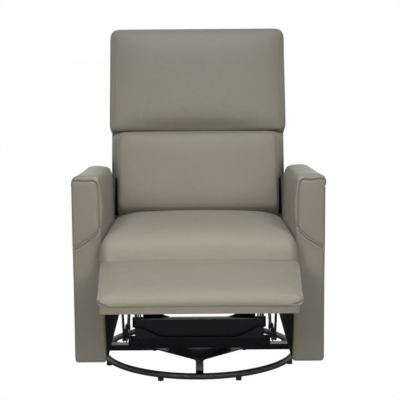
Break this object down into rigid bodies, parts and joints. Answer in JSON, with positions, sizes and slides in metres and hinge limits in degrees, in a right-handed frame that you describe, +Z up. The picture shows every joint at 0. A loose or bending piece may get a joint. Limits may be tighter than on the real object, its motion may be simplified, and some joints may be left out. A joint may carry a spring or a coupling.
{
  "type": "swivel glider recliner",
  "caption": "Padded recliner armchair with folding footrest and reclining back, hung on glide links over a swivelling round tube base.",
  "frame": {"origin": "on the floor under the middle of the chair's bounding box with the footrest open", "axes": "+X to the right as one faces the chair, +Y to the back, +Z up; the swivel axis stands at X 0, Y 0.2345 m"},
  "size_m": [0.734, 1.2219, 1.0635],
  "materials": {
    "upholstery": "soft satin faux leather",
    "black_steel": "black satin paint",
    "black_base": "black semi-gloss powder coat",
    "zinc": "zinc plated",
    "glide_plastic": "moulded nylon",
    "timber": "raw plywood",
    "dust_cloth": "black non-woven cloth"
  },
  "bodies": {
    "base": {"base_ring": "black_base", "cross_bar": "black_base", "base_struts": "black_base", "swivel_base_plate": "black_base", "floor_glides": "glide_plastic", "base_bolts": "zinc", "lower_race": "zinc", "bearing_balls": "zinc"},
    "turntable": {"upper_race": "zinc", "turntable_plate": "black_steel", "hanger_left": "black_steel", "hanger_right": "black_steel", "turntable_beams": "black_steel", "hanger_pins": "zinc"},
    "glide_front_left": {"glide_link_front_left": "black_steel"},
    "glide_front_right": {"glide_link_front_right": "black_steel"},
    "glide_rear_left": {"glide_link_rear_left": "black_steel"},
    "glide_rear_right": {"glide_link_rear_right": "black_steel"},
    "chassis": {"side_rail_left": "black_steel", "side_rail_right": "black_steel", "rail_pins": "zinc", "chassis_tube_front": "black_steel", "chassis_tube_rear": "black_steel", "chassis_front_plate": "black_steel", "arm_mounts": "black_steel", "arm_frame_left": "timber", "arm_frame_right": "timber", "arm_cover_left": "upholstery", "arm_cover_right": "upholstery", "arm_pad_left": "upholstery", "arm_pad_right": "upholstery", "seat_rail_front": "timber", "seat_rail_rear": "timber", "seat_rails_side": "timber", "seat_springs": "zinc", "dust_cover": "dust_cloth", "seat_cushion": "upholstery"},
    "back": {"back_frame": "timber", "back_brackets": "black_steel", "lumbar_cushion": "upholstery", "head_cushion": "upholstery", "back_border": "upholstery", "back_rear_cover": "upholstery"},
    "foot_rear_left": {"foot_rear_link_left": "black_steel", "foot_drive_tube": "black_steel"},
    "foot_rear_right": {"foot_rear_link_right": "black_steel"},
    "foot_front_left": {"foot_front_link_left": "black_steel"},
    "foot_front_right": {"foot_front_link_right": "black_steel"},
    "knee_left": {"foot_knee_left": "black_steel"},
    "knee_right": {"foot_knee_right": "black_steel"},
    "control_left": {"foot_control_link_left": "black_steel"},
    "control_right": {"foot_control_link_right": "black_steel"},
    "footrest": {"footrest_board": "timber", "footrest_brackets": "black_steel", "footrest_facing": "upholstery", "footrest_pad": "upholstery"}
  },
  "joints": [
    {"name": "swivel", "type": "hinge", "parent": "base", "child": "turntable", "pos_m": [0, 0.23454, 0.037], "axis": [0, 0, 1], "continuous": true},
    {"name": "glide", "type": "hinge", "parent": "turntable", "child": "glide_front_left", "pos_m": [-0.193, 0.08454, 0.235], "axis": [1, 0, 0], "range_deg": [-15, 15]},
    {"name": "glide_level", "type": "hinge", "parent": "glide_front_left", "child": "chassis", "pos_m": [-0.193, 0.08454, 0.125], "axis": [1, 0, 0], "range_deg": [-15, 15]},
    {"name": "glide_hang_front_right", "type": "hinge", "parent": "turntable", "child": "glide_front_right", "pos_m": [0.193, 0.08454, 0.235], "axis": [1, 0, 0], "range_deg": [-15, 15]},
    {"name": "glide_hang_rear_left", "type": "hinge", "parent": "turntable", "child": "glide_rear_left", "pos_m": [-0.193, 0.38454, 0.235], "axis": [1, 0, 0], "range_deg": [-15, 15]},
    {"name": "glide_hang_rear_right", "type": "hinge", "parent": "turntable", "child": "glide_rear_right", "pos_m": [0.193, 0.38454, 0.235], "axis": [1, 0, 0], "range_deg": [-15, 15]},
    {"name": "recline", "type": "hinge", "parent": "chassis", "child": "back", "pos_m": [0, 0.35454, 0.35], "axis": [-1, 0, 0], "range_deg": [0, 32]},
    {"name": "footrest_fold", "type": "hinge", "parent": "chassis", "child": "foot_rear_left", "pos_m": [-0.2065, -0.05546, 0.296], "axis": [1, 0, 0], "range_deg": [0, 75]},
    {"name": "foot_rear_right_swing", "type": "hinge", "parent": "chassis", "child": "foot_rear_right", "pos_m": [0.2065, -0.05546, 0.296], "axis": [1, 0, 0], "range_deg": [0, 75]},
    {"name": "foot_front_left_swing", "type": "hinge", "parent": "chassis", "child": "foot_front_left", "pos_m": [-0.2065, -0.15746, 0.296], "axis": [1, 0, 0], "range_deg": [0, 75]},
    {"name": "foot_front_right_swing", "type": "hinge", "parent": "chassis", "child": "foot_front_right", "pos_m": [0.2065, -0.15746, 0.296], "axis": [1, 0, 0], "range_deg": [0, 75]},
    {"name": "knee_left_level", "type": "hinge", "parent": "foot_rear_left", "child": "knee_left", "pos_m": [-0.2145, -0.1767, 0.20031], "axis": [1, 0, 0], "range_deg": [-75, 0]},
    {"name": "knee_right_level", "type": "hinge", "parent": "foot_rear_right", "child": "knee_right", "pos_m": [0.2145, -0.1767, 0.20031], "axis": [1, 0, 0], "range_deg": [-75, 0]},
    {"name": "control_left_level", "type": "hinge", "parent": "foot_front_left", "child": "control_left", "pos_m": [-0.2145, -0.3184, 0.2052], "axis": [1, 0, 0], "range_deg": [-75, 0]},
    {"name": "control_right_level", "type": "hinge", "parent": "foot_front_right", "child": "control_right", "pos_m": [0.2145, -0.3184, 0.2052], "axis": [1, 0, 0], "range_deg": [-75, 0]},
    {"name": "footrest_tilt", "type": "hinge", "parent": "knee_left", "child": "footrest", "pos_m": [-0.2225, -0.35575, 0.33119], "axis": [1, 0, 0], "range_deg": [0, 85.5]}
  ],
  "couplings": [
    {"joint": "glide_level", "follows": "glide", "ratio": -1},
    {"joint": "glide_hang_front_right", "follows": "glide", "ratio": 1},
    {"joint": "glide_hang_rear_left", "follows": "glide", "ratio": 1},
    {"joint": "glide_hang_rear_right", "follows": "glide", "ratio": 1},
    {"joint": "foot_rear_right_swing", "follows": "footrest_fold", "ratio": 1},
    {"joint": "foot_front_left_swing", "follows": "footrest_fold", "ratio": 1},
    {"joint": "foot_front_right_swing", "follows": "footrest_fold", "ratio": 1},
    {"joint": "knee_left_level", "follows": "footrest_fold", "ratio": -1},
    {"joint": "knee_right_level", "follows": "footrest_fold", "ratio": -1},
    {"joint": "control_left_level", "follows": "footrest_fold", "ratio": -1},
    {"joint": "control_right_level", "follows": "footrest_fold", "ratio": -1},
    {"joint": "footrest_tilt", "follows": "footrest_fold", "ratio": 1.14}
  ]
}
